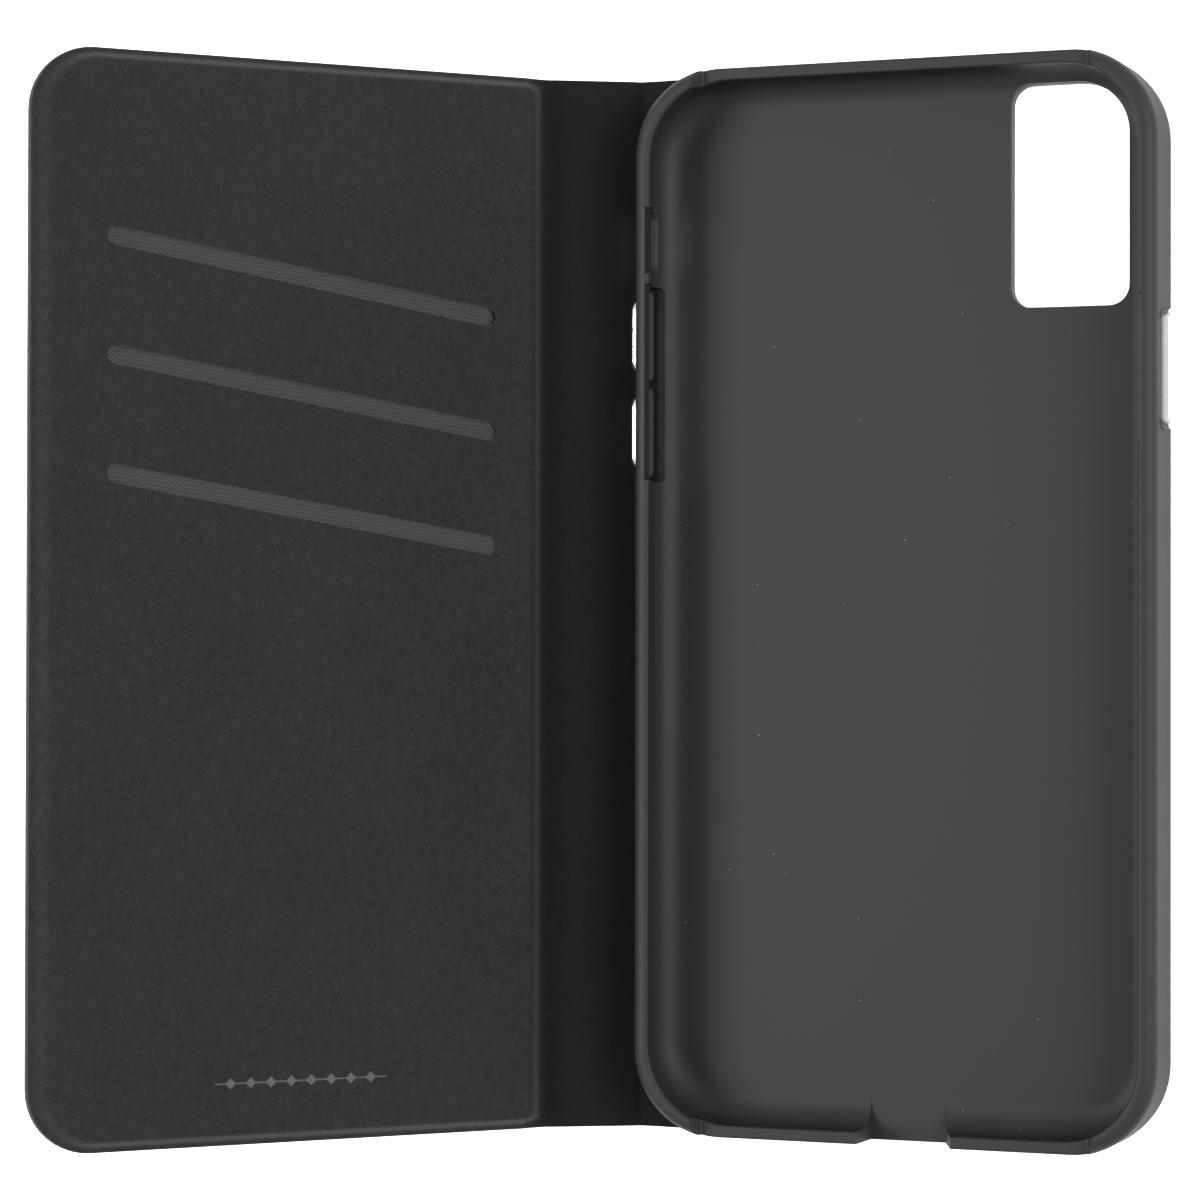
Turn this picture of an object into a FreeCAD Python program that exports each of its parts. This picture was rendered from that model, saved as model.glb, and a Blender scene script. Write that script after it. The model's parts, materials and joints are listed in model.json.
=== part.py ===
import FreeCAD, Part
import math
import os
import Sketcher

from FreeCAD import Placement, Rotation, Vector

doc = FreeCAD.newDocument("phone_wallet_case")

# ---------------------------------------------------------------- driving sizes, mm and degrees

SIZES = [
    # the phone that the tray holds
    ("phoneLength", 143.6),
    ("phoneWidth", 71.0),
    ("phoneDepth", 7.7),
    ("fitGap", 0.1),
    # tray
    ("sideWall", 1.1),
    ("endWall", 1.7),
    ("trayFloor", 1.2),
    ("trayCorner", 12.0),
    ("lipRise", 1.0),
    ("lipReach", 2.4),
    ("endLipReach", 1.7),
    ("mouthCorner", 11.0),
    ("lipRelief", 0.6),
    ("endWallDrop", 2.2),
    ("railTabInset", 8.5),
    ("railTabSlant", 1.0),
    ("trayFootRound", 1.0),
    ("trayRimRound", 1.7),
    ("lipRound", 0.5),
    ("endWallRound", 0.35),
    ("notchCentre", 0.5),
    ("notchFloorWidth", 10.5),
    ("notchMouthWidth", 13.4),
    ("notchLean", 1.1),
    # camera window, its margins measured from the phone's side and top end
    ("windowSideMargin", 4.3),
    ("windowTopMargin", 1.65),
    ("windowWidth", 16.4),
    ("windowLength", 30.3),
    ("windowCorner", 2.8),
    ("windowBigCorner", 7.0),
    # buttons and mute slot, measured from the phone's top end and back face
    ("buttonAxisRise", 4.1),
    ("muteDrop", 21.8),
    ("muteLength", 9.2),
    ("muteHeight", 3.4),
    ("volumeUpDrop", 34.7),
    ("volumeDownDrop", 48.1),
    ("volumeLength", 10.0),
    ("powerDrop", 41.0),
    ("powerLength", 15.9),
    ("capHeight", 3.0),
    ("capProud", 1.5),
    ("capRound", 0.6),
    ("capGap", 0.12),
    ("retainerOverhang", 1.1),
    ("retainerHeight", 2.2),
    ("retainerThickness", 0.35),
    ("retainerGap", 0.05),
    ("recessWall", 0.6),
    ("recessHeight", 5.6),
    ("recessMargin", 0.8),
    ("recessCorner", 0.8),
    # sheets of the outer, in the order that they are laid up
    ("leather", 0.8),
    ("lining", 0.3),
    ("film", 0.1),
    ("stiffener", 0.2),
    ("board", 0.8),
    ("pocketSheet", 0.25),
    ("suede", 0.7),
    ("backInset", 0.35),
    ("outerSetback", 0.1),
    # spine and its two folds
    ("foldAxisRise", 0.6),
    ("foldClearance", 0.4),
    ("foldGap", 1.0),
    ("coverRimClearance", 0.4),
    ("stiffenerInset", 1.4),
    ("spineFoldAngle", 29.2),
    ("coverFoldAngle", 17.5),
    # cover
    ("coverEdgeSetback", 1.3),
    ("coverFreeSetback", 0.5),
    ("coverCorner", 8.7),
    ("boardInset", 2.6),
    ("pressedEdgeWidth", 1.9),
    ("pressedEdgeDepth", 1.5),
    # card slots and the pocket sheets behind them
    ("slotShift", 1.55),
    ("slotMargin", 8.95),
    ("slotWidth", 2.4),
    ("slotAngle", 9.3),
    ("slotTopDrop", 29.5),
    ("slotPitch", 15.85),
    ("pocketMargin", 7.1),
    ("pocketHead", 10.0),
    ("pocketFootMargin", 9.5),
    ("sheetStep", 3.0),
]

sheet = doc.addObject("Spreadsheet::Sheet", "Sizes")
for row, (alias, size) in enumerate(SIZES, start=1):
    sheet.set("A%d" % row, alias)
    sheet.set("B%d" % row, "%g" % size)
    sheet.setAlias("B%d" % row, alias)
doc.recompute()


def cell(text):
    """Put the sheet's name before each alias, so that any object's expression can read it."""
    words = []
    word = ""
    for letter in text + " ":
        if letter.isalnum():
            word += letter
        else:
            words.append("Sizes." + word if word in ALIASES else word)
            words.append(letter)
            word = ""
    return "".join(words).strip()


ALIASES = {alias for alias, size in SIZES}


def length_of(text):
    """The same expression as a length, for properties that carry millimetres."""
    return "(" + cell(text) + ") * 1 mm"


def value(text):
    """The number that an expression on the sheet's aliases gives."""
    return float(sheet.evalExpression(cell(text)))


# ---------------------------------------------------------------- sizes that follow from the driving ones

TRAY_HALF_WIDTH = "(phoneWidth / 2 + fitGap + sideWall)"
TRAY_HALF_LENGTH = "(phoneLength / 2 + fitGap + endWall)"
OUTER_HALF_LENGTH = f"({TRAY_HALF_LENGTH} - outerSetback)"
TRAY_SEAT = "(leather + lining + film)"
BAY_FLOOR = f"({TRAY_SEAT} + trayFloor)"
BAY_ROUND = "(phoneDepth / 2 + fitGap)"
BAY_MIDDLE = f"({BAY_FLOOR} + {BAY_ROUND})"
RIM_TOP = f"({BAY_FLOOR} + phoneDepth + 2 * fitGap + lipRise - fitGap)"
END_WALL_TOP = f"({RIM_TOP} - endWallDrop)"
BAY_HALF_WIDTH = "(phoneWidth / 2 + fitGap)"
BAY_HALF_LENGTH = "(phoneLength / 2 + fitGap)"
BUTTON_AXIS = f"({BAY_FLOOR} + buttonAxisRise)"
RECESS_FACE = f"({TRAY_HALF_WIDTH} - recessWall)"
FOLD_AXIS_X = f"(-{TRAY_HALF_WIDTH} - capProud - foldClearance - leather - lining - stiffener + foldAxisRise)"
COVER_STACK = "(leather + film + board + 3 * pocketSheet + suede)"
FOLD_SPACING = f"({RIM_TOP} + coverRimClearance + {COVER_STACK} - 2 * foldAxisRise)"
COVER_FOLD_X = f"({FOLD_AXIS_X} - {FOLD_SPACING})"
COVER_NEAR = f"({COVER_FOLD_X} - coverEdgeSetback)"
COVER_WIDTH = f"({TRAY_HALF_WIDTH} - coverFreeSetback - {FOLD_AXIS_X} - coverEdgeSetback)"
COVER_FAR = f"({COVER_NEAR} - {COVER_WIDTH})"
SLOT_X = f"({COVER_NEAR} - {COVER_WIDTH} / 2 + slotShift)"
SLOT_SPAN = f"({COVER_WIDTH} - 2 * slotMargin)"
POCKET_HALF_WIDTH = f"({COVER_WIDTH} / 2 - pocketMargin)"
SLOT_TOP = f"({OUTER_HALF_LENGTH} - slotTopDrop)"


# ---------------------------------------------------------------- helpers

def body_named(label):
    body = doc.addObject("PartDesign::Body", label)
    body.Label = label
    return body


def sketch_on(body, plane, name, rise="0"):
    """A sketch on one of the body's origin planes, lifted along that plane's normal by an expression."""
    sketch = body.newObject("Sketcher::SketchObject", name)
    support = [item for item in body.Origin.OriginFeatures if item.Role == plane][0]
    sketch.AttachmentSupport = [(support, "")]
    sketch.MapMode = "FlatFace"
    sketch.setExpression("AttachmentOffset.Base.z", length_of(rise))
    return sketch


def pin_coordinate(sketch, geometry, corner, kind, text):
    """Fix one coordinate of a point, kind DistanceX or DistanceY, at an expression from the sketch's origin."""
    size = value(text)
    if abs(size) < 1e-9:
        axis = -2 if kind == "DistanceX" else -1
        sketch.addConstraint(Sketcher.Constraint("PointOnObject", geometry, corner, axis))
    elif size > 0:
        index = sketch.addConstraint(Sketcher.Constraint(kind, -1, 1, geometry, corner, size))
        sketch.setExpression("Constraints[%d]" % index, cell(text))
    else:
        index = sketch.addConstraint(Sketcher.Constraint(kind, geometry, corner, -1, 1, -size))
        sketch.setExpression("Constraints[%d]" % index, "-1 * (" + cell(text) + ")")


def pin_point(sketch, geometry, corner, across, up):
    pin_coordinate(sketch, geometry, corner, "DistanceX", across)
    pin_coordinate(sketch, geometry, corner, "DistanceY", up)


def polygon(sketch, corners):
    """A closed outline of straight lines, each corner a pair of expressions."""
    points = [Vector(value(across), value(up), 0) for across, up in corners]
    count = len(points)
    for index in range(count):
        sketch.addGeometry(Part.LineSegment(points[index], points[(index + 1) % count]), False)
    for index in range(count):
        sketch.addConstraint(Sketcher.Constraint("Coincident", index, 2, (index + 1) % count, 1))
    for index, (across, up) in enumerate(corners):
        pin_point(sketch, index, 1, across, up)


def rounded_box(sketch, left, right, low, high, radii):
    """A rectangle with its own radius, or None, at each corner: low left, low right, high right, high left."""
    spots = [(left, low, 1, 1), (right, low, -1, 1), (right, high, -1, -1), (left, high, 1, -1)]
    leave = []
    arrive = []
    arcs = {}
    for index, (x, y, inward_x, inward_y) in enumerate(spots):
        corner = Vector(value(x), value(y), 0)
        size = value(radii[index]) if radii[index] else 0
        step_x = Vector(inward_x * size, 0, 0)
        step_y = Vector(0, inward_y * size, 0)
        along = step_x if index % 2 == 0 else step_y
        before = step_y if index % 2 == 0 else step_x
        leave.append(corner + along)
        arrive.append(corner + before)
        if radii[index]:
            start = math.pi * (1 + index / 2)
            circle = Part.Circle(corner + step_x + step_y, Vector(0, 0, 1), size)
            arcs[index] = Part.ArcOfCircle(circle, start, start + math.pi / 2)
    for index in range(4):
        sketch.addGeometry(Part.LineSegment(leave[index], arrive[(index + 1) % 4]), False)
        straight = "Horizontal" if index % 2 == 0 else "Vertical"
        sketch.addConstraint(Sketcher.Constraint(straight, index))
    for index in range(4):
        previous = (index + 3) % 4
        if index in arcs:
            arc = sketch.addGeometry(arcs[index], False)
            sketch.addConstraint(Sketcher.Constraint("Tangent", previous, 2, arc, 1))
            sketch.addConstraint(Sketcher.Constraint("Tangent", arc, 2, index, 1))
            radius = sketch.addConstraint(Sketcher.Constraint("Radius", arc, value(radii[index])))
            sketch.setExpression("Constraints[%d]" % radius, cell(radii[index]))
        else:
            sketch.addConstraint(Sketcher.Constraint("Coincident", previous, 2, index, 1))
    pin_coordinate(sketch, 0, 1, "DistanceY", low)
    pin_coordinate(sketch, 1, 1, "DistanceX", right)
    pin_coordinate(sketch, 2, 1, "DistanceY", high)
    pin_coordinate(sketch, 3, 1, "DistanceX", left)


def centred_box(sketch, half_width, half_length, radius):
    rounded_box(sketch, f"-{half_width}", half_width, f"-{half_length}", half_length, [radius] * 4)


def stadium(sketch, centre, rise, length, height):
    """A slot outline with round ends: length along the sketch's first axis, height across it."""
    radius = f"({height}) / 2"
    reach = f"(({length}) - ({height})) / 2"
    mid = Vector(value(centre), value(rise), 0)
    half = value(reach)
    round_end = value(radius)
    up = Vector(0, 0, 1)
    right = Part.Circle(mid + Vector(half, 0, 0), up, round_end)
    left = Part.Circle(mid - Vector(half, 0, 0), up, round_end)
    quarter = math.pi / 2
    sketch.addGeometry(Part.ArcOfCircle(right, -quarter, quarter), False)
    sketch.addGeometry(Part.ArcOfCircle(left, quarter, 3 * quarter), False)
    top = Vector(0, round_end, 0)
    along = Vector(half, 0, 0)
    sketch.addGeometry(Part.LineSegment(mid + along + top, mid - along + top), False)
    sketch.addGeometry(Part.LineSegment(mid - along - top, mid + along - top), False)
    for arc, arc_end, line, line_end in ((0, 2, 2, 1), (2, 2, 1, 1), (1, 2, 3, 1), (3, 2, 0, 1)):
        sketch.addConstraint(Sketcher.Constraint("Tangent", arc, arc_end, line, line_end))
    sketch.addConstraint(Sketcher.Constraint("Equal", 0, 1))
    index = sketch.addConstraint(Sketcher.Constraint("Radius", 0, round_end))
    sketch.setExpression("Constraints[%d]" % index, cell(radius))
    pin_point(sketch, 0, 3, f"({centre}) + {reach}", rise)
    pin_point(sketch, 1, 3, f"({centre}) - {reach}", rise)


def pad(body, sketch, name, length, backwards=False):
    feature = body.newObject("PartDesign::Pad", name)
    feature.Profile = sketch
    feature.Reversed = backwards
    feature.setExpression("Length", length_of(length))
    sketch.Visibility = False
    doc.recompute()
    return feature


def pocket(body, sketch, name, length=None, backwards=False):
    """Cut a sketch out of the body: to a depth, or with no depth, through everything both ways."""
    before = body.Shape.Volume
    feature = body.newObject("PartDesign::Pocket", name)
    feature.Profile = sketch
    feature.Reversed = backwards
    if length is None:
        feature.Type = "ThroughAll"
        feature.Midplane = True
    else:
        feature.setExpression("Length", length_of(length))
    doc.recompute()
    if body.Shape.Volume > before - 1e-3:
        raise RuntimeError(name + " removes nothing")
    return feature


def edges_where(shape, wanted):
    """Names of the edges that a test accepts."""
    return ["Edge%d" % number for number, edge in enumerate(shape.Edges, start=1) if wanted(edge)]


def lies_at(height):
    return lambda edge: abs(edge.BoundBox.ZMin - height) < 1e-6 and abs(edge.BoundBox.ZMax - height) < 1e-6


def within(half_width, half_length):
    """A test for edges that stay inside a centred rectangle."""
    def wanted(edge):
        ends = [vertex.Point for vertex in edge.Vertexes]
        return all(abs(end.x) < half_width + 1e-4 and abs(end.y) < half_length + 1e-4 for end in ends)
    return wanted


def fillet(body, base, name, wanted, radius):
    feature = body.newObject("PartDesign::Fillet", name)
    names = edges_where(base.Shape, wanted)
    if not names:
        raise RuntimeError(name + " finds no edge")
    feature.Base = (base, names)
    feature.setExpression("Radius", length_of(radius))
    doc.recompute()
    return feature


def fold(stage):
    """Placement of a piece that is drawn flat: 0 on the back, 1 on the spine, 2 on the cover."""
    placement = Placement()
    if stage == 2:
        hinge = Vector(value(COVER_FOLD_X), 0, value("foldAxisRise"))
        placement = Placement(Vector(), Rotation(Vector(0, 1, 0), value("coverFoldAngle")), hinge)
    if stage >= 1:
        hinge = Vector(value(FOLD_AXIS_X), 0, value("foldAxisRise"))
        placement = Placement(Vector(), Rotation(Vector(0, 1, 0), value("spineFoldAngle")), hinge) * placement
    return placement


def cut_window(body):
    """Camera window through a layer, with one corner rounder than the others."""
    sketch = sketch_on(body, "XY_Plane", body.Label + "_window_outline")
    rounded_box(
        sketch,
        "phoneWidth / 2 - windowSideMargin - windowWidth",
        "phoneWidth / 2 - windowSideMargin",
        "phoneLength / 2 - windowTopMargin - windowLength",
        "phoneLength / 2 - windowTopMargin",
        ["windowCorner", "windowCorner", "windowBigCorner", "windowCorner"],
    )
    return pocket(body, sketch, body.Label + "_window")


def flat_sheet(label, stage, left, right, half_length, bottom, thickness, near_radius, far_radius):
    """A sheet drawn flat: two corners on its left side share a radius, and two on its right, None if square."""
    body = body_named(label)
    sketch = sketch_on(body, "XY_Plane", label + "_outline", bottom)
    radii = [near_radius, far_radius, far_radius, near_radius]
    rounded_box(sketch, left, right, f"-({half_length})", half_length, radii)
    pad(body, sketch, label + "_pad", thickness)
    body.Placement = fold(stage)
    return body


# ---------------------------------------------------------------- tray

def tray_block():
    """The tray before its phone bay is hollowed out: walls, rims, openings and the button recesses."""
    body = body_named("tray_block")
    outline = sketch_on(body, "XY_Plane", "tray_outline", TRAY_SEAT)
    centred_box(outline, TRAY_HALF_WIDTH, TRAY_HALF_LENGTH, "trayCorner")
    block = pad(body, outline, "tray_pad", f"{RIM_TOP} - {TRAY_SEAT}")
    block = fillet(body, block, "tray_foot", lies_at(value(TRAY_SEAT)), "trayFootRound")
    fillet(body, block, "tray_rim", lies_at(value(RIM_TOP)), "trayRimRound")

    face = sketch_on(body, "XY_Plane", "face_opening_outline", BAY_MIDDLE)
    mouth_x = f"({TRAY_HALF_WIDTH} - lipReach)"
    mouth_y = f"({TRAY_HALF_LENGTH} - endLipReach)"
    centred_box(face, mouth_x, mouth_y, "mouthCorner")
    opened = pocket(body, face, "face_opening", f"{RIM_TOP} - {BAY_MIDDLE} + 1", backwards=True)
    at_rim = lies_at(value(RIM_TOP))
    inside = within(value(mouth_x), value(mouth_y))
    fillet(body, opened, "lip_edge", lambda edge: at_rim(edge) and inside(edge), "lipRound")

    ends = sketch_on(body, "XZ_Plane", "end_wall_outline")
    foot = f"({TRAY_HALF_WIDTH} - railTabInset - railTabSlant)"
    above = f"({RIM_TOP} + endWallDrop)"
    spread = f"({TRAY_HALF_WIDTH} - railTabInset + railTabSlant)"
    polygon(ends, [
        (f"-{foot}", END_WALL_TOP),
        (foot, END_WALL_TOP),
        (spread, above),
        (f"-{spread}", above),
    ])
    dropped = pocket(body, ends, "end_wall_drop")
    fillet(body, dropped, "end_wall_edges", lies_at(value(END_WALL_TOP)), "endWallRound")

    notch = sketch_on(body, "XZ_Plane", "port_notch_outline")
    # drawn to twice the end wall's height, so that the mouth's width is the one at the wall's top
    twice = "(notchCentre + 2 * notchLean)"
    polygon(notch, [
        ("notchCentre - notchFloorWidth / 2", BAY_FLOOR),
        ("notchCentre + notchFloorWidth / 2", BAY_FLOOR),
        (f"{twice} + notchMouthWidth - notchFloorWidth / 2", f"2 * {END_WALL_TOP} - {BAY_FLOOR}"),
        (f"{twice} - notchMouthWidth + notchFloorWidth / 2", f"2 * {END_WALL_TOP} - {BAY_FLOOR}"),
    ])
    pocket(body, notch, "port_notch", f"{TRAY_HALF_LENGTH} + 1", backwards=True)

    for name, side, drop, length, height in (
        ("mute_slot", -1, "muteDrop", "muteLength", "muteHeight"),
        ("volume_up_slot", -1, "volumeUpDrop", "volumeLength + 2 * capGap", "capHeight + 2 * capGap"),
        ("volume_down_slot", -1, "volumeDownDrop", "volumeLength + 2 * capGap", "capHeight + 2 * capGap"),
        ("power_slot", 1, "powerDrop", "powerLength + 2 * capGap", "capHeight + 2 * capGap"),
    ):
        slot = sketch_on(body, "YZ_Plane", name + "_outline")
        stadium(slot, f"phoneLength / 2 - {drop}", BUTTON_AXIS, length, height)
        pocket(body, slot, name, f"{TRAY_HALF_WIDTH} + 1", backwards=side > 0)

    overhang = "(retainerOverhang + recessMargin)"
    for name, side, first, last, length in (
        ("volume_recess", -1, "volumeUpDrop", "volumeDownDrop", "volumeLength"),
        ("power_recess", 1, "powerDrop", "powerDrop", "powerLength"),
    ):
        recess = sketch_on(body, "YZ_Plane", name + "_outline")
        rounded_box(
            recess,
            f"phoneLength / 2 - {last} - {length} / 2 - {overhang}",
            f"phoneLength / 2 - {first} + {length} / 2 + {overhang}",
            f"{BUTTON_AXIS} - recessHeight / 2",
            f"{BUTTON_AXIS} + recessHeight / 2",
            ["recessCorner"] * 4,
        )
        pocket(body, recess, name, RECESS_FACE, backwards=side > 0)

    # the lip steps back over the mute slot and over the buttons' bars
    for name, side, first, last, length in (
        ("mute_relief", -1, "muteDrop", "muteDrop", "muteLength"),
        ("volume_relief", -1, "volumeUpDrop", "volumeDownDrop", f"volumeLength + 2 * {overhang}"),
        ("power_relief", 1, "powerDrop", "powerDrop", f"powerLength + 2 * {overhang}"),
    ):
        relief = sketch_on(body, "XY_Plane", name + "_outline", BUTTON_AXIS)
        across = [f"{side} * ({mouth_x} + lipRelief)", f"{side} * ({mouth_x} - lipReach)"]
        rounded_box(
            relief,
            across[side > 0],
            across[side < 0],
            f"phoneLength / 2 - {last} - ({length}) / 2",
            f"phoneLength / 2 - {first} + ({length}) / 2",
            [None] * 4,
        )
        pocket(body, relief, name, f"{RIM_TOP} - {BUTTON_AXIS} + 1", backwards=True)
    cut_window(body)
    return body


def phone_bay():
    """The rounded space that the phone fills, which undercuts the rails' lips."""
    body = body_named("phone_bay")
    outline = sketch_on(body, "XY_Plane", "bay_outline", BAY_FLOOR)
    centred_box(outline, BAY_HALF_WIDTH, BAY_HALF_LENGTH, "(trayCorner - sideWall)")
    block = pad(body, outline, "bay_pad", f"2 * {BAY_ROUND}")
    edges = lambda edge: lies_at(value(BAY_FLOOR))(edge) or lies_at(value(f"{BAY_FLOOR} + 2 * {BAY_ROUND}"))(edge)
    fillet(body, block, "bay_sides", edges, f"{BAY_ROUND} * 0.995")
    return body


def phone_tray():
    tray = doc.addObject("Part::Cut", "phone_tray")
    tray.Label = "phone_tray"
    tray.Base = tray_block()
    tray.Tool = phone_bay()
    doc.recompute()
    return tray


# ---------------------------------------------------------------- buttons

def side_button(label, side, drop, length):
    """A metal button: a rounded cap through the rail and a retaining bar behind it."""
    body = body_named(label)
    centre = f"phoneLength / 2 - {drop}"
    back = f"({RECESS_FACE} - retainerGap)"
    cap_outline = sketch_on(body, "YZ_Plane", label + "_cap_outline", f"{side} * {back}")
    stadium(cap_outline, centre, BUTTON_AXIS, length, "capHeight")
    cap = pad(body, cap_outline, label + "_cap", "recessWall + retainerGap + capProud", backwards=side < 0)
    outer = side * value(f"{TRAY_HALF_WIDTH} + capProud")
    at_face = lambda edge: abs(edge.BoundBox.XMin - outer) < 1e-6 and abs(edge.BoundBox.XMax - outer) < 1e-6
    fillet(body, cap, label + "_cap_round", at_face, "capRound")
    bar_outline = sketch_on(body, "YZ_Plane", label + "_retainer_outline", f"{side} * {back}")
    stadium(bar_outline, centre, BUTTON_AXIS, f"{length} + 2 * retainerOverhang", "retainerHeight")
    pad(body, bar_outline, label + "_retainer", "retainerThickness", backwards=side > 0)
    return body


# ---------------------------------------------------------------- back panel and spine

def back_layer(label, bottom, thickness, inset, to_fold):
    """A layer under the tray with two rounded outer corners; leather and lining run on to the fold."""
    far = f"({TRAY_HALF_WIDTH} - {inset})"
    radius = f"(trayCorner - {inset})"
    if to_fold:
        near = f"({FOLD_AXIS_X} + foldGap)"
        body = flat_sheet(label, 0, near, far, OUTER_HALF_LENGTH, bottom, thickness, None, radius)
    else:
        half = f"({TRAY_HALF_LENGTH} - {inset})"
        body = flat_sheet(label, 0, f"-{far}", far, half, bottom, thickness, radius, radius)
    cut_window(body)
    return body


def spine_layer(label, bottom, thickness, inset, end_inset):
    near = f"({FOLD_AXIS_X} - {inset})"
    far = f"({COVER_FOLD_X} + {inset})"
    half = f"({OUTER_HALF_LENGTH} - {end_inset})"
    return flat_sheet(label, 1, far, near, half, bottom, thickness, None, None)


# ---------------------------------------------------------------- cover

def cover_layer(label, bottom, thickness, inset, near):
    """A cover sheet with two rounded corners on its free side."""
    far = f"({COVER_FAR} + {inset})"
    half = f"({OUTER_HALF_LENGTH} - {inset})"
    return flat_sheet(label, 2, far, near, half, bottom, thickness, f"(coverCorner - {inset})", None)


def slot_outline(sketch, rise, along, across):
    """A slanted slot: a long outline turned down towards the spine."""
    cosine = "cos(slotAngle)"
    sine = "sin(slotAngle)"
    corners = []
    for u, v in ((-1, -1), (1, -1), (1, 1), (-1, 1)):
        x = f"{SLOT_X} + {u} * {along} / 2 * {cosine} + {v} * {across} / 2 * {sine}"
        y = f"{rise} - {u} * {along} / 2 * {sine} + {v} * {across} / 2 * {cosine}"
        corners.append((x, y))
    polygon(sketch, corners)


def cover_lining():
    """Suede-like sheet over the cover: a shallow pan whose pressed edge meets the leather."""
    body = body_named("cover_lining")
    outline = sketch_on(body, "XY_Plane", "cover_lining_outline", "leather")
    radii = ["coverCorner", None, None, "coverCorner"]
    rounded_box(outline, COVER_FAR, COVER_NEAR, f"-{OUTER_HALF_LENGTH}", OUTER_HALF_LENGTH, radii)
    base = pad(body, outline, "cover_lining_pad", f"{COVER_STACK} - leather")
    edge = body.newObject("PartDesign::Chamfer", "pressed_edge")
    edge.Base = (base, edges_where(base.Shape, lies_at(value(COVER_STACK))))
    edge.ChamferType = "Two distances"
    edge.setExpression("Size", length_of("pressedEdgeWidth"))
    edge.setExpression("Size2", length_of("pressedEdgeDepth"))
    doc.recompute()
    hollow = sketch_on(body, "XY_Plane", "cover_hollow_outline", "leather")
    half = f"({OUTER_HALF_LENGTH} - boardInset)"
    radii = ["(coverCorner - boardInset)", None, None, "(coverCorner - boardInset)"]
    rounded_box(hollow, f"{COVER_FAR} + boardInset", f"{COVER_NEAR} - boardInset", f"-{half}", half, radii)
    pocket(body, hollow, "cover_hollow", f"{COVER_STACK} - leather - suede", backwards=True)
    for number in range(3):
        slot = sketch_on(body, "XY_Plane", "card_slot_outline_%d" % number, COVER_STACK)
        slot_outline(slot, f"({SLOT_TOP} - {number} * slotPitch)", f"{SLOT_SPAN} / cos(slotAngle)", "slotWidth")
        pocket(body, slot, "card_slot_%d" % number, "suede")
    body.Placement = fold(2)
    return body


def pocket_sheet(label, layer, head, half_width):
    """A woven sheet behind the card slots, its top edge slanted like the slots."""
    body = body_named(label)
    bottom = f"leather + film + board + {layer} * pocketSheet"
    outline = sketch_on(body, "XY_Plane", label + "_outline", bottom)
    drop = f"({half_width} * tan(slotAngle))"
    foot = f"(-{OUTER_HALF_LENGTH} + pocketFootMargin + {layer} * sheetStep)"
    polygon(outline, [
        (f"{SLOT_X} - {half_width}", foot),
        (f"{SLOT_X} + {half_width}", foot),
        (f"{SLOT_X} + {half_width}", f"{head} - {drop}"),
        (f"{SLOT_X} - {half_width}", f"{head} + {drop}"),
    ])
    pad(body, outline, label + "_pad", "pocketSheet")
    body.Placement = fold(2)
    return body


# ---------------------------------------------------------------- the whole case

parts = [phone_tray()]
parts.append(side_button("volume_up_button", -1, "volumeUpDrop", "volumeLength"))
parts.append(side_button("volume_down_button", -1, "volumeDownDrop", "volumeLength"))
parts.append(side_button("power_button", 1, "powerDrop", "powerLength"))

parts.append(back_layer("back_leather", "0", "leather", "backInset", True))
parts.append(back_layer("back_lining", "leather", "lining", "backInset", True))
parts.append(back_layer("tray_adhesive", "leather + lining", "film", "(trayFootRound + backInset)", False))

parts.append(spine_layer("spine_leather", "0", "leather", "foldGap", "0"))
parts.append(spine_layer("spine_stiffener", "leather", "stiffener", "(foldGap + stiffenerInset)", "stiffenerInset"))
parts.append(spine_layer("spine_lining", "leather + stiffener", "lining", "foldGap", "0"))

cover_near = f"({COVER_FOLD_X} - foldGap)"
board_near = f"({COVER_NEAR} - boardInset - fitGap)"
parts.append(cover_layer("cover_leather", "0", "leather", "0", cover_near))
parts.append(cover_layer("cover_adhesive", "leather", "film", "(boardInset + fitGap)", board_near))
parts.append(cover_layer("cover_board", "leather + film", "board", "(boardInset + fitGap)", board_near))
for layer, label in enumerate(("pocket_back_sheet", "pocket_divider_upper", "pocket_divider_lower")):
    head = f"({SLOT_TOP} + pocketHead)" if layer == 0 else f"({SLOT_TOP} - {layer - 1} * slotPitch - slotWidth)"
    parts.append(pocket_sheet(label, layer, head, POCKET_HALF_WIDTH))
parts.append(cover_lining())

# ---------------------------------------------------------------- check and write

doc.recompute()
for item in doc.Objects:
    if "Invalid" in item.State or "Error" in item.State:
        raise RuntimeError(item.Label + " failed: " + str(item.State))
for part in parts:
    if part.Shape.isNull() or not part.Shape.isValid():
        raise RuntimeError(part.Label + " has no valid shape")

os.makedirs("parts", exist_ok=True)
for part in parts:
    part.Shape.exportStep("parts/" + part.Label + ".step")
    box = part.Shape.BoundBox
    print("%-22s %9.1f mm3  x %.2f..%.2f y %.2f..%.2f z %.2f..%.2f" % (
        part.Label, part.Shape.Volume, box.XMin, box.XMax, box.YMin, box.YMax, box.ZMin, box.ZMax))
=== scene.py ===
import json
import math

import bmesh
import bpy
import numpy as np
from mathutils import Matrix, Vector


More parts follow.
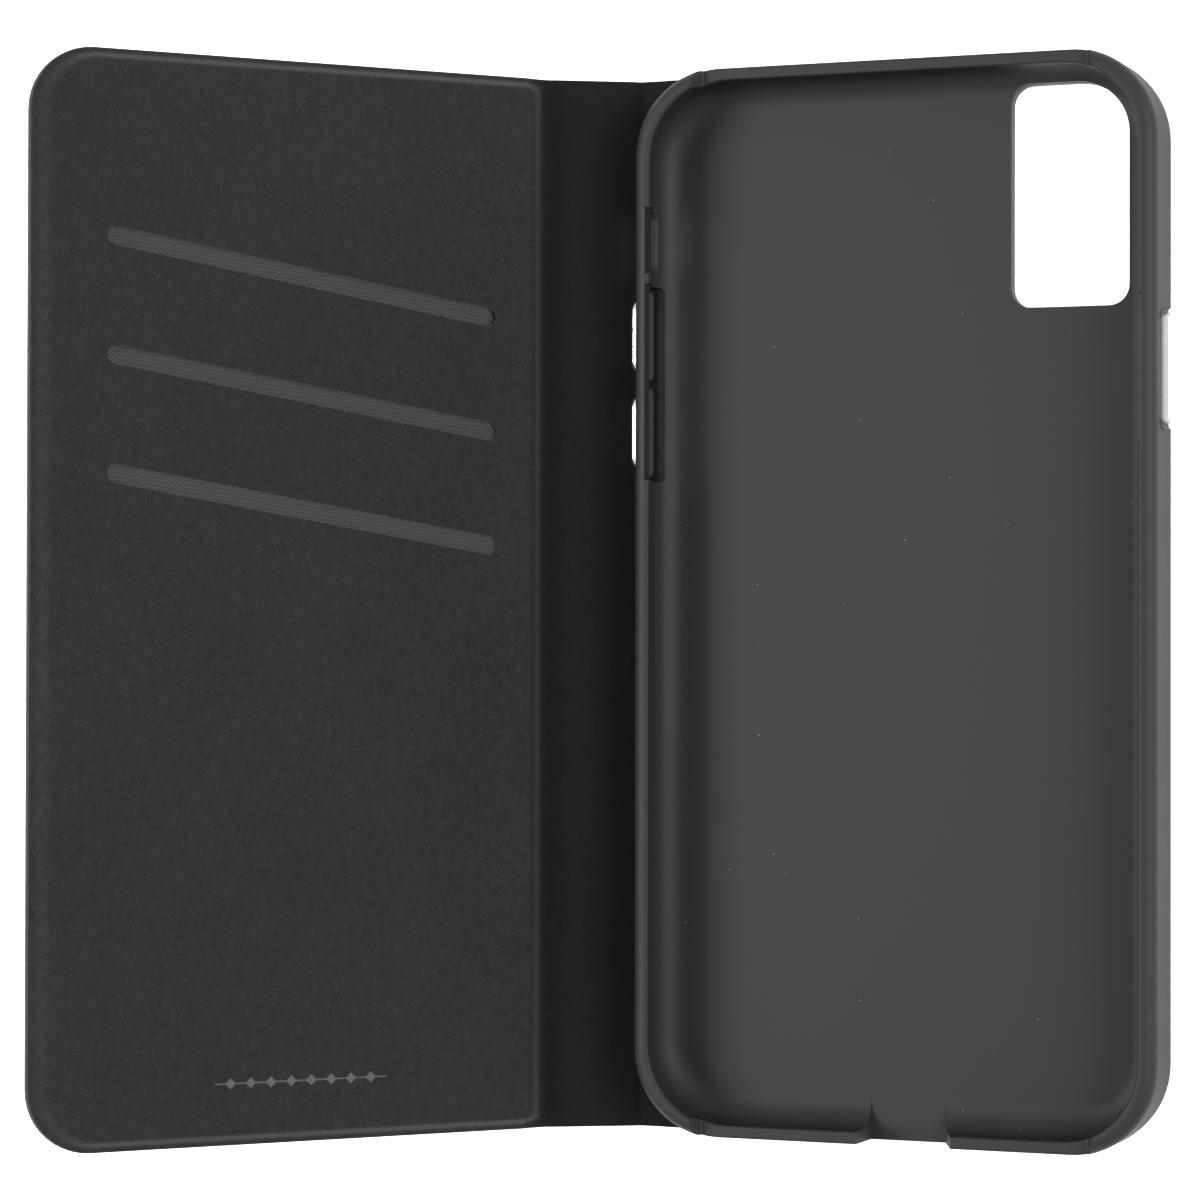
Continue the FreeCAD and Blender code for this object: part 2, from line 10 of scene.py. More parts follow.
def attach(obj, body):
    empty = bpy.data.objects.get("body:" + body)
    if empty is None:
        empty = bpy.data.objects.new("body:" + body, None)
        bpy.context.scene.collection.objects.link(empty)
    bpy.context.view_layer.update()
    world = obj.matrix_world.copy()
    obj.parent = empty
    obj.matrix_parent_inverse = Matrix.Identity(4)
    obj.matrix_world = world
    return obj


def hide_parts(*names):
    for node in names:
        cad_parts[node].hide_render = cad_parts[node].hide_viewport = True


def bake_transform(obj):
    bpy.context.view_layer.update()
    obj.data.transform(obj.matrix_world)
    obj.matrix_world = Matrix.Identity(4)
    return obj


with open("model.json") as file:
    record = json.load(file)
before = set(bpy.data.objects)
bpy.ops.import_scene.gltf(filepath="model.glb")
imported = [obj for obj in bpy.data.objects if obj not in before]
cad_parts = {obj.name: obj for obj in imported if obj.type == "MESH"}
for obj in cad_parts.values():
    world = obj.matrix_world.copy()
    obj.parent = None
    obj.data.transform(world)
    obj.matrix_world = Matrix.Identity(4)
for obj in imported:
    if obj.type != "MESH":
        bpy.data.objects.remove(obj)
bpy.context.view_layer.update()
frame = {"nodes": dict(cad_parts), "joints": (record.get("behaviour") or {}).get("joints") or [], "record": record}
print("frame loaded:", len(frame["nodes"]), "nodes")

# The case is drawn laid out flat and then folded: x across it, y along it,
# n up from the leather's outer face.
joints = {joint["name"]: joint for joint in frame["joints"]}
spineAxis = np.array(joints["spine_fold"]["pos_m"])
coverAxis = np.array(joints["cover_fold"]["pos_m"])
axisRise = spineAxis[2]
spineFoldX = spineAxis[0]
coverFoldX = spineFoldX - np.linalg.norm(coverAxis - spineAxis)
# both folds reach a right angle when the case is shut, at the top of their ranges
spineAngle = math.radians(90 - joints["spine_fold"]["range_deg"][1])
coverAngle = math.radians(90 - joints["cover_fold"]["range_deg"][1])

flatMapScale = 10   # the pieces' UV maps hold 1 for 0.1 m
layers = {
    "leather": 0.0008,           # thickness
    "stiffener": 0.0002,         # thickness of the strip between the spine's leather and lining
    "liningTop": 0.0013,         # height of the spine lining's face between the folds
    "boardTop": 0.0017,          # height of the cover's board
    "wovenSheet": 0.00025,       # thickness
    "suedeUnderside": 0.00245,   # heights of the cover lining's two faces
    "suedeTop": 0.00315,
}
outer = {
    "halfLength": 0.0735,
    "foldReach": 0.001,                  # how far a bend runs each side of its axis
    "coverNear": coverFoldX - 0.001,     # where the bend ends and the step onto the padded cover starts
    "paddedNear": coverFoldX - 0.0036,   # where the cover's own leather and lining begin, past the step
    "coverFar": coverFoldX - 0.0755,     # the cover's free edge
    "coverCorner": 0.0087,
    "backEdge": spineFoldX + 0.001,      # where the bend into the back ends
    "underTray": spineFoldX + 0.0040,    # where the spine's strips meet the back's sheets, under the tray
}
outer["spineMiddle"] = (spineFoldX + coverFoldX) / 2


def smoothStep(t):
    # 3 t^2 - 2 t^3 between 0 and 1
    t = np.clip(t, 0, 1)
    return t * t * (3 - 2 * t)


def turned(x, n, pivotX, angle):
    # turns points about a fold's axis: x' = dx cos a + dn sin a, n' = dn cos a - dx sin a
    dx, dn = x - pivotX, n - axisRise
    return pivotX + dx * np.cos(angle) + dn * np.sin(angle), axisRise + dn * np.cos(angle) - dx * np.sin(angle)


def folded(flat):
    # takes flat points to the half open case: each fold turns what lies beyond it, smoothly over its reach
    x, y, n = flat.T
    reach = outer["foldReach"]
    coverShare = smoothStep((coverFoldX + reach - x) / (2 * reach))
    spineShare = smoothStep((spineFoldX + reach - x) / (2 * reach))
    across, up = turned(x, n, coverFoldX, coverAngle * coverShare)
    across, up = turned(across, up, spineFoldX, spineAngle * spineShare)
    return np.stack([across, y, up], axis=1)


def foldedPoint(x, n):
    # one flat point at the middle of the case's length, folded
    return tuple(float(v) for v in folded(np.array([[x, 0.0, n]]))[0])


def gridFaces(rows, columns, first=0):
    # quads of a grid of points that is stored row after row
    index = first + np.arange(rows * columns).reshape(rows, columns)
    return np.stack([index[:-1, :-1], index[:-1, 1:], index[1:, 1:], index[1:, :-1]], axis=-1).reshape(-1, 4)


meshing = {
    "mergeDistance": 2e-6,
    "leastEdge": 1e-7,
    "sharpAngle": math.radians(50),
}


def makePiece(name, flat, faces, slot):
    # one closed mesh from flat points and quads, folded, doubles merged and open ends filled;
    # its UV map holds the flat x and y
    mesh = bpy.data.meshes.new(name)
    mesh.from_pydata(folded(flat).tolist(), [], faces.tolist())
    layer = mesh.uv_layers.new(name="flat")
    corners = np.zeros(len(mesh.loops), int)
    mesh.loops.foreach_get("vertex_index", corners)
    layer.data.foreach_set("uv", (flat[corners, :2] * flatMapScale).ravel())
    form = bmesh.new()
    form.from_mesh(mesh)
    bmesh.ops.remove_doubles(form, verts=form.verts, dist=meshing["mergeDistance"])
    bmesh.ops.dissolve_degenerate(form, edges=form.edges, dist=meshing["leastEdge"])
    bmesh.ops.holes_fill(form, edges=[edge for edge in form.edges if edge.is_boundary], sides=0)
    bmesh.ops.recalc_face_normals(form, faces=form.faces)
    form.to_mesh(mesh)
    form.free()
    mesh.polygons.foreach_set("use_smooth", np.ones(len(mesh.polygons), bool))
    mesh.set_sharp_from_angle(angle=meshing["sharpAngle"])
    piece = bpy.data.objects.new(name, mesh)
    bpy.context.scene.collection.objects.link(piece)
    return piece


def joined(parts):
    # stacks (points, faces) pairs into one
    points, faces, first = [], [], 0
    for somePoints, someFaces in parts:
        points.append(somePoints)
        faces.append(someFaces + first)
        first += len(somePoints)
    return np.concatenate(points), np.concatenate(faces)


def roundEdge(radius, steps=4):
    # a quarter round as (inset, drop) pairs, from the face to the wall:
    # inset = r - r sin a, drop = r - r cos a
    a = np.linspace(0, math.pi / 2, steps + 1)
    return np.stack([radius - radius * np.sin(a), radius - radius * np.cos(a)], axis=1)


def rimPath(columns, rows, halfLength, radius, farX, cornerSteps=12):
    # path round three sides of a panel as (base x, base y, outward x, outward y): along -y, round,
    # up the free side, round, back along +y; at a corner the base stays at the corner's centre
    # while the outward direction turns
    reach, centre = halfLength - radius, farX + radius
    a = np.linspace(0, math.pi / 2, cornerSteps)[1:-1]
    still = np.ones_like
    low = np.stack([columns, -reach * still(columns), 0 * columns, -still(columns)], axis=1)
    lowCorner = np.stack([centre * still(a), -reach * still(a), -np.sin(a), -np.cos(a)], axis=1)
    free = np.stack([centre * still(rows), rows, -still(rows), 0 * rows], axis=1)
    highCorner = np.stack([centre * still(a), reach * still(a), -np.cos(a), np.sin(a)], axis=1)
    high = np.stack([columns[::-1], reach * still(columns), 0 * columns, still(columns)], axis=1)
    return np.concatenate([low, lowCorner, free, highCorner, high])


def carriedRim(path, rings, radius):
    # carries the rim's section along the path; a ring is (distance in from the outline, height)
    points = np.empty((len(rings), len(path), 3))
    for index, (inset, height) in enumerate(rings):
        reach = radius - inset
        points[index, :, 0] = path[:, 0] + path[:, 2] * reach
        points[index, :, 1] = path[:, 1] + path[:, 3] * reach
        points[index, :, 2] = height
    return points.reshape(-1, 3), gridFaces(len(rings), len(path))


spacing = {
    "clearShare": 0.35,   # a plain position this share of a step from an extra one is left out
    "endGap": 1e-5,       # the nearest that an extra position may be to either end
    "leastGap": 1.5e-5,   # and any two positions to each other
}


def lines(low, high, step, dense=(), offsets=()):
    # positions between two ends at about a step, with extra ones at set offsets from each dense position
    extra = np.array([d + o for d in dense for o in offsets])
    plain = np.linspace(low, high, max(2, int(round((high - low) / step)) + 1))
    if len(extra):
        extra = extra[(extra > low + spacing["endGap"]) & (extra < high - spacing["endGap"])]
        gap = np.abs(plain[:, None] - extra[None, :]).min(axis=1)
        keep = gap > step * spacing["clearShare"]
        keep[[0, -1]] = True
        plain = np.concatenate([plain[keep], extra])
    plain = np.sort(plain)
    return plain[np.concatenate([[True], np.diff(plain) > spacing["leastGap"]])]


# ---- cover lining: nap sheet with a pressed border and three slanted card slots
suede = {
    "farEdge": 0.0027,       # width of the pressed border on the free side
    "border": 0.0019,        # and along the other sides
    "borderDrop": 0.0013,    # how far the border is pressed down
    "borderRings": 10,
    "footRise": 0.00082,     # height of the sheet's lower edge, on the leather
    "wall": 0.0006,
    "brimRound": 0.00035,
    "gridStep": 0.0016,
    "ripple": 0.00003,
    "calmEdge": 0.006,       # width along the sides over which the ripple fades out
}
slots = {
    "centreX": coverFoldX - 0.03685,
    "span": 0.0563,
    "width": 0.0024,
    "slant": math.radians(9.3),
    "centreY": (0.0440, 0.02815, 0.0123),
    "lipRound": 0.0003,
    "dish": 0.00014,         # how far the sheet sinks towards a slot, and over what distance
    "dishReach": 0.0016,
    "tipLines": np.arange(-0.0006, 0.00271, 0.00015),   # the grid's extra columns, inwards from a slot's end
    "lipLines": np.array([0, 0.00004, 0.0001, 0.0002, 0.00032, 0.0006, 0.0011, 0.0018]),   # and rows, outwards
    "rowsAcross": 15,
    "endSpread": 0.004,      # how far past the outer slots the rows keep the slots' slant
}


def slotDistance(x, y):
    # signed distance to the nearest slot's outline, a rounded bar, and the direction away from it:
    # the length of (|u| - half run, 0) and w, less the radius, with u along the slot and w across it
    nearest = np.full(np.shape(x), 1.0)
    side = np.zeros(np.shape(x) + (2,))
    cosine, sine = math.cos(slots["slant"]), math.sin(slots["slant"])
    halfRun = (slots["span"] / cosine - slots["width"]) / 2
    for centreY in slots["centreY"]:
        dx, dy = x - slots["centreX"], y - centreY
        u, w = dx * cosine - dy * sine, dx * sine + dy * cosine
        over = u - np.clip(u, -halfRun, halfRun)
        length = np.sqrt(over ** 2 + w ** 2)
        distance = length - slots["width"] / 2
        away = np.stack([over * cosine + w * sine, w * cosine - over * sine], axis=-1)
        away = away / np.maximum(length, 1e-9)[..., None]
        closer = distance < nearest
        nearest = np.where(closer, distance, nearest)
        side = np.where(closer[..., None], away, side)
    return nearest, side


def ripple(x, y):
    # slow unevenness of the glued sheet: a sum of crossing sine waves, with their radians per metre
    crossing = np.sin(x * 310 + 1.3) * np.sin(y * 205 + 0.4)
    slanting = 0.6 * np.sin(x * 131 - y * 167)
    lengthways = 0.5 * np.sin(y * 420 + x * 90)
    return suede["ripple"] * (crossing + slanting + lengthways)


def slottedField(columns, rows, slant, inner):
    # grid whose rows lie along the slots in the middle and square to the sides at the ends
    x, v = np.meshgrid(columns, rows)
    middle = (slots["centreY"][0] + slots["centreY"][-1]) / 2
    spread = (slots["centreY"][0] - slots["centreY"][-1]) / 2 + slots["endSpread"]
    share = smoothStep(1 - (np.abs(v - middle) - spread) / (inner - middle - spread))
    return x, v - share * slant * (x - slots["centreX"])


def coverLining():
    # a field on a slanting grid with the slots cut out of it, its underside and their walls,
    # and the pressed border carried round three sides
    half, radius = outer["halfLength"], outer["coverCorner"]
    near, far, inner = outer["paddedNear"], outer["coverFar"], half - radius
    top, under, foot = layers["suedeTop"], layers["suedeUnderside"], suede["footRise"]
    slant, halfSpan = math.tan(slots["slant"]), slots["span"] / 2
    tips = np.concatenate([slots["tipLines"] - halfSpan, halfSpan - slots["tipLines"]])
    columns = lines(far + radius, near, suede["gridStep"], [slots["centreX"]], tips)[::-1]
    edge, fine = slots["width"] / 2 / math.cos(slots["slant"]), slots["lipLines"]
    across = np.concatenate([edge + fine, -edge - fine, np.linspace(-edge, edge, slots["rowsAcross"])])
    rows = lines(-inner, inner, suede["gridStep"], slots["centreY"], across)
    x, y = slottedField(columns, rows, slant, inner)
    quads = gridFaces(*x.shape)
    flatX, flatY = x.ravel().copy(), y.ravel().copy()
    isOpen = slotDistance(flatX[quads].mean(1), flatY[quads].mean(1))[0] < 0
    kept = quads[~isOpen]
    # the vertices round each opening are drawn onto its outline
    rim = np.intersect1d(quads[isOpen], kept)
    distance, away = slotDistance(flatX[rim], flatY[rim])
    flatX[rim] -= distance * away[:, 0]
    flatY[rim] -= distance * away[:, 1]
    distance = np.maximum(slotDistance(flatX, flatY)[0], 0)
    r = slots["lipRound"]
    fall = r - np.sqrt(np.maximum(r ** 2 - (r - np.minimum(distance, r)) ** 2, 0))
    calm = suede["calmEdge"]
    fade = smoothStep((near - flatX) / calm) * smoothStep((inner - np.abs(flatY)) / calm)
    fade = fade * smoothStep((flatX - far - radius) / calm)
    dish = slots["dish"] * np.exp(-(distance / slots["dishReach"]) ** 2)
    height = top - fall - dish + ripple(flatX, flatY) * fade
    sheet = np.stack([flatX, flatY, height], axis=1)
    total = len(sheet)
    # walls of the slots: the rim's edges that have a face on one side only, joined to the underside
    edges = np.concatenate([kept[:, [0, 1]], kept[:, [1, 2]], kept[:, [2, 3]], kept[:, [3, 0]]])
    edges = edges[np.isin(edges, rim).all(axis=1)]
    _, first, count = np.unique(np.sort(edges, axis=1), axis=0, return_index=True, return_counts=True)
    edges = edges[first[count == 1]]
    walls = np.stack([edges[:, 1], edges[:, 0], edges[:, 0] + total, edges[:, 1] + total], axis=1)
    underside = np.stack([flatX, flatY, np.full(total, under)], axis=1)
    # the pressed border: from the field's edge down half a cosine, over a small round,
    # down to the leather and back in under the sheet
    path = rimPath(columns, y[:, -1], half, radius, far)
    width = suede["border"] + (suede["farEdge"] - suede["border"]) * np.abs(path[:, 2])
    brim, r = top - suede["borderDrop"], suede["brimRound"]
    rings = [(radius, top)]
    for t in np.linspace(0, 1, suede["borderRings"]):
        fallen = suede["borderDrop"] * (0.5 - 0.5 * math.cos(math.pi * t))
        rings.append((width + (r - width) * t, top - fallen))
    rings += [(inset, brim - drop) for inset, drop in roundEdge(r)[1:]]
    rings += [(0, foot), (suede["wall"], foot), (suede["wall"], brim - r)]
    rings += [(width * 1.2, under), (radius, under)]
    points, faces = joined([
        (np.concatenate([sheet, underside]), np.concatenate([kept, kept[:, ::-1] + total, walls])),
        carriedRim(path, rings, radius),
    ])
    return points, faces


leatherSheet = {
    "gridStep": 0.0025,
    "edgeSteps": 9,
    "endRound": 0.0004,    # the most that a strip's end is rounded
    "stripStep": 0.004,
    "stripEnd": 0.001,     # how far short of a strip's end, or of its border, the even steps stop
}


def leatherPanel():
    # a flat sheet whose edge is a half round carried along three sides
    half, radius = outer["halfLength"], outer["coverCorner"]
    near, far, inner = outer["paddedNear"], outer["coverFar"], half - radius
    columns = lines(far + radius, near, leatherSheet["gridStep"])[::-1]
    rows = lines(-inner, inner, leatherSheet["gridStep"])
    x, y = np.meshgrid(columns, rows)
    quads = gridFaces(*x.shape)
    flat = np.stack([x.ravel(), y.ravel(), np.full(x.size, layers["leather"])], axis=1)
    under = flat * (1, 1, 0)
    top, r = layers["leather"], layers["leather"] / 2
    a = np.linspace(0, math.pi, leatherSheet["edgeSteps"])
    rings = [(radius, top)] + [(r - r * math.sin(t), r + r * math.cos(t)) for t in a] + [(radius, 0)]
    return joined([(np.concatenate([flat, under]), np.concatenate([quads, quads[:, ::-1] + x.size])),
                   carriedRim(rimPath(columns, rows, half, radius, far), rings, radius)])


def crossStrip(xs, tops, bottoms, border=0.0, brims=None):
    # a strip across the case: at each x a closed section in y and n, carried along x;
    # the section's ends are round, or fall half a cosine over a border to a brim
    half = outer["halfLength"]
    brims = tops if brims is None else brims
    endRound, short = leatherSheet["endRound"], leatherSheet["stripEnd"]
    inner = lines(-half + border + short, half - border - short, leatherSheet["stripStep"])
    t = np.linspace(0, 1, leatherSheet["edgeSteps"])[1:] if border else np.zeros(1)
    fallY = half - endRound - border * (1 - t)
    fallN = tops[:, None] - (tops - brims)[:, None] * (0.5 - 0.5 * np.cos(math.pi * t))
    a = np.linspace(0, math.pi, leatherSheet["edgeSteps"])
    r = np.minimum((brims - bottoms) / 2, endRound)[:, None]
    high, low = (brims[:, None] - r), (bottoms[:, None] + r)
    endY = half - r + r * np.sin(a)
    endN = np.where(a < math.pi / 2, high, low) + r * np.cos(a)
    one = np.ones((len(xs), 1))
    y = np.concatenate([one * inner, one * fallY, endY,
                        one * inner[::-1], -endY[:, ::-1], -one * fallY[::-1]], axis=1)
    n = np.concatenate([tops[:, None] + 0 * inner, fallN, endN,
                        bottoms[:, None] + 0 * inner, endN[:, ::-1], fallN[:, ::-1]], axis=1)
    y, n = (np.concatenate([part, part[:, :1]], axis=1) for part in (y, n))
    points = np.stack([xs[:, None] + 0 * y, y, n], axis=-1)
    return points.reshape(-1, 3), gridFaces(len(xs), y.shape[1])


class Value:
    # a number's socket; arithmetic on it adds Math nodes
    def __init__(self, finish, socket):
        self.finish, self.socket = finish, socket

    def math(self, operation, *terms):
        return self.finish.node("ShaderNodeMath", {"operation": operation}, dict(enumerate(terms)))

    def __add__(self, other):
        return self.math("ADD", self, other)

    def __sub__(self, other):
        return self.math("SUBTRACT", self, other)

    def __rsub__(self, other):
        return self.math("SUBTRACT", other, self)

    def __mul__(self, other):
        return self.math("MULTIPLY", self, other)

    __radd__, __rmul__ = __add__, __mul__

    def magnitude(self):
        return self.math("ABSOLUTE", self)

    def over(self, limit, softness):
        # 0 below the limit, 1 above it, with a soft step
        return self.finish.node("ShaderNodeMapRange", {"interpolation_type": "SMOOTHSTEP"}, {
            "Value": self, "From Min": limit - softness, "From Max": limit + softness})


class Finish:
    # one procedural material; constants go straight to the shader's sockets
    def __init__(self, name, **constants):
        self.material = bpy.data.materials.new(name)
        self.material.use_nodes = True
        self.tree = self.material.node_tree
        self.shader = self.tree.nodes["Principled BSDF"]
        for socket, value in constants.items():
            self.shader.inputs[socket.replace("_", " ")].default_value = value
        self.place = self.node("ShaderNodeTexCoord", {}, {}, "Object")
        self.flat = self.node("ShaderNodeTexCoord", {}, {}, "UV")

    def feed(self, socket, value):
        if isinstance(value, Value):
            self.tree.links.new(value.socket, socket)
        else:
            socket.default_value = value

    def node(self, kind, settings, inputs, output=0):
        # any node: its settings first, then the values or links of its sockets
        made = self.tree.nodes.new(kind)
        for name, value in settings.items():
            setattr(made, name, value)
        for key, value in inputs.items():
            self.feed(made.inputs[key], value)
        return Value(self, made.outputs[output])

    def axis(self, vector, name):
        return self.node("ShaderNodeSeparateXYZ", {}, {0: vector}, name)

    def flatAxis(self, name):
        # distance across or along the flat case, in metres
        return self.axis(self.flat, name) * (1 / flatMapScale)

    def noise(self, size, detail=3.0, roughness=0.55, stretch=(1, 1, 1)):
        # noise whose features are about the given size in metres
        spot = self.node("ShaderNodeMapping", {}, {"Vector": self.place, "Scale": stretch})
        return self.node("ShaderNodeTexNoise", {}, {
            "Vector": spot, "Scale": 1 / size, "Detail": detail, "Roughness": roughness})

    def cells(self, size, feature="F1", output="Distance", **more):
        return self.node("ShaderNodeTexVoronoi", {"feature": feature}, {
            "Vector": self.place, "Scale": 1 / size, **more}, output)

    def specks(self, size, spread, channel, above):
        # soft dots of a set size and softness in the few cells whose random channel is above a level
        dots = self.cells(spread)
        rare = self.node("ShaderNodeSeparateColor", {}, {0: self.cells(spread, output="Color")}, channel)
        return (1 - dots.over(*size)) * rare.over(above, 0.02)

    def mixed(self, share, first, second):
        # a colour between two: Mix's sockets 0, 6 and 7 are the factor and its two colours
        return self.node("ShaderNodeMix", {"data_type": "RGBA"}, {0: share, 6: first, 7: second}, 2)

    def colour(self, value):
        self.feed(self.shader.inputs["Base Color"], value)

    def rough(self, value):
        self.feed(self.shader.inputs["Roughness"], value)

    def relief(self, height, depth):
        bump = self.node("ShaderNodeBump", {}, {"Strength": 1.0, "Distance": depth, "Height": height})
        self.feed(self.shader.inputs["Normal"], bump)


def grey(level, tint=(1, 1, 1)):
    # linear colour of a display level from 0 to 255, tinted
    linear = ((level / 255 + 0.055) / 1.055) ** 2.4
    return (linear * tint[0], linear * tint[1], linear * tint[2], 1)


softPlastic = {
    "cloudSize": 0.0035,
    "grainSize": 0.00022,
    "swellSize": 0.0008,
    "dark": grey(29, (0.98, 0.99, 1.05)),
    "light": grey(30, (0.98, 0.99, 1.04)),
    "grain": grey(38, (0.99, 0.98, 1.04)),
    "steep": grey(29, (1.2, 0.9, 1.16)),   # painted purple reflection tint on walls and other steep faces
    # painted shade inside the side walls' openings
    "uncoated": grey(9),
    "speck": grey(150),
    "speckSpread": 0.0021,
    "relief": 0.000012,
    "wallFaces": (0.03568, 0.0366),        # distances of the side walls' two faces from the tray's middle
    "cutHeights": (0.0035, 0.0092),        # heights between which the walls' openings lie
    "cutReach": 0.059,                     # how far along the walls they go from the middle
}


def slotShadeMask(finish):
    # 1 within the side walls' thickness, where the mute slot and the buttons' recesses are cut; it places the
    # painted shade inside them
    x, y, z = (finish.axis(finish.place, name) for name in "XYZ")
    across, along = x.magnitude(), y.magnitude()
    inner, outside = softPlastic["wallFaces"]
    bottom, top = softPlastic["cutHeights"]
    within = across.over(inner, 0.00004) * (1 - across.over(outside, 0.00004))
    low = z.over(bottom, 0.0001) * (1 - z.over(top, 0.0004))
    return within * low * (1 - along.over(softPlastic["cutReach"], 0.0005))


def softTouch():
    finish = Finish("softTouchPlastic", IOR=1.45, Specular_IOR_Level=0.22)
    broad = finish.noise(softPlastic["cloudSize"], 2)
    grain = finish.noise(softPlastic["grainSize"], 2, 0.6)
    # how steep a face is: steep faces get the painted purple reflection tint
    steep = 1 - finish.axis(finish.node("ShaderNodeTexCoord", {}, {}, "Normal"), "Z").magnitude()
    base = finish.mixed(broad, softPlastic["dark"], softPlastic["light"])
    base = finish.mixed(grain * 0.3, base, softPlastic["grain"])
    base = finish.mixed(steep.over(0.45, 0.3) * 0.75, base, softPlastic["steep"])
    # painted shade darkens the inside of the mute slot and the buttons' recesses
    base = finish.mixed(slotShadeMask(finish) * 0.8, base, softPlastic["uncoated"])
    speck = finish.specks((0.035, 0.02), softPlastic["speckSpread"], "Red", 0.8)
    base = finish.mixed(speck * 0.5, base, softPlastic["speck"])
    finish.colour(base)
    finish.rough(0.5 + broad * 0.05 + grain * 0.1)
    finish.relief(grain + finish.noise(softPlastic["swellSize"], 2) * 0.4, softPlastic["relief"])
    return finish.material


nap = {
    "fibreSize": 0.00016,
    "tuftSize": 0.0009,
    "brushedSize": 0.014,
    "darkShare": 0.72,        # the nap's darkest and lightest tones, as shares of its level
    "lightShare": 1.32,
    "lyingShare": 0.45,       # painted shade along the step
    "tipShare": 2.4,
    "toneSoftness": 0.14,
    "tipSpread": 0.0007,
    "lint": grey(110),
    "lintSpread": 0.0038,
    "markLevel": 98,
    "relief": 0.00007,
}


def suedeNap(name, level, tint=(1, 1, 1), mark=False, past=None):
    # brushed nap about a grey level; past is the level that it takes past the step, and mark adds the ornament
    finish = Finish(name, Specular_IOR_Level=0.1, Sheen_Weight=0.2, Sheen_Roughness=0.45,
                    Sheen_Tint=(0.8, 0.82, 0.86, 1))
    fibres = finish.noise(nap["fibreSize"], 4, 0.7, (1, 0.55, 1))
    tufts = finish.noise(nap["tuftSize"], 3, 0.6, (1, 0.7, 1))
    brushed = finish.noise(nap["brushedSize"], 3, 0.5, (1, 0.5, 1))
    tone = (fibres * 0.7 + tufts * 0.22 + brushed * 0.08).over(0.5, nap["toneSoftness"])
    base = finish.mixed(tone, grey(level * nap["darkShare"], tint), grey(level * nap["lightShare"], tint))
    if past:
        # along the step the nap gets painted shade, and past it the cover's own tone begins
        x = finish.flatAxis("X")
        stepShade = 1 - x.over(outer["coverNear"] - 0.0001, 0.0007)
        base = finish.mixed(stepShade * 0.6, base, grey(level * nap["lyingShare"], tint))
        pastTone = finish.mixed(tone, grey(past * nap["darkShare"]), grey(past * nap["lightShare"]))
        base = finish.mixed(1 - x.over(outer["paddedNear"] + 0.0005, 0.0006), base, pastTone)
    tips = (1 - finish.cells(nap["tipSpread"]).over(0.12, 0.08)) * fibres.over(0.55, 0.1)
    base = finish.mixed(tips * 0.35, base, grey(level * nap["tipShare"], tint))
    lint = finish.specks((0.022, 0.012), nap["lintSpread"], "Green", 0.6)
    base = finish.mixed(lint * 0.3, base, nap["lint"])
    if mark:
        base = finish.mixed(ornament(finish) * (0.3 + fibres * 0.4), base, grey(nap["markLevel"], tint))
    finish.colour(base)
    finish.rough(0.86 + fibres * 0.12)
    finish.relief(fibres * 0.9 + tufts * 0.4 + brushed * 0.3, nap["relief"])
    return finish.material


printedRow = {
    "pitch": 0.0029,
    "centre": (coverFoldX - 0.0375, -0.065),
    "halfLength": 0.0124,
    "diamond": 0.00075,    # half a diamond's width
    "hairline": 0.00009,   # half the line's width
}


def ornament(finish):
    # a row of small diamonds on a hairline, printed near the foot of the cover: with x folded into one pitch,
    # a diamond is where |x| + |y| is below its half width
    half = printedRow["pitch"] / 2
    x = finish.flatAxis("X") - printedRow["centre"][0]
    y = finish.flatAxis("Y") - printedRow["centre"][1]
    wrapped = x.math("PINGPONG", x + half + 20 * half, half)   # whole pitches keep the folded value above 0
    near = (wrapped - half).magnitude() * -1 + half
    diamond = 1 - (near.magnitude() + y.magnitude()).over(printedRow["diamond"], 0.00012)
    hair = 1 - y.magnitude().over(printedRow["hairline"], 0.00004)
    inside = 1 - x.magnitude().over(printedRow["halfLength"], 0.00005)
    return x.math("MAXIMUM", diamond, hair) * inside


weaving = {
    "ribPitch": 0.00036,
    "direction": math.radians(40),
    "fuzzSize": 0.00012,
    "groove": grey(10, (1.08, 0.94, 1.1)),
    "rib": grey(60, (1.1, 0.93, 1.1)),
    "fuzz": grey(36, (1.06, 0.95, 1.06)),
    "relief": 0.00008,
}


def twill():
    # slanting ribs, sin(turns across the ribs), broken up by knots, sin(turns along them + half those across)
    finish = Finish("wovenTwill", Specular_IOR_Level=0.3, Sheen_Weight=0.2, Sheen_Roughness=0.4)
    x, y = finish.flatAxis("X"), finish.flatAxis("Y")
    cosine = math.cos(weaving["direction"]) * math.pi / weaving["ribPitch"]
    sine = math.sin(weaving["direction"]) * math.pi / weaving["ribPitch"]
    across = x * (2 * cosine) + y * (2 * sine)
    along = y * cosine - x * sine
    rib = across.math("SINE", across) * 0.5 + 0.5
    knot = along.math("SINE", along + across * 0.5) * 0.5 + 0.5
    fuzz = finish.noise(weaving["fuzzSize"], 2, 0.7)
    weave = rib * (0.5 + knot * 0.5)
    base = finish.mixed(weave.over(0.36, 0.24), weaving["groove"], weaving["rib"])
    base = finish.mixed(fuzz.over(0.62, 0.15) * 0.3, base, weaving["fuzz"])
    finish.colour(base)
    finish.rough(0.75 - rib * 0.15)
    finish.relief(weave, weaving["relief"])
    return finish.material


leatherGrain = {
    "pebbleSize": 0.00115,
    "warpSize": 0.004,
    "poreSize": 0.00018,
    "crease": grey(22),
    "pebble": grey(40, (1.0, 0.99, 0.98)),
    "worn": grey(48, (1.0, 0.99, 0.98)),
    "relief": 0.00008,
}


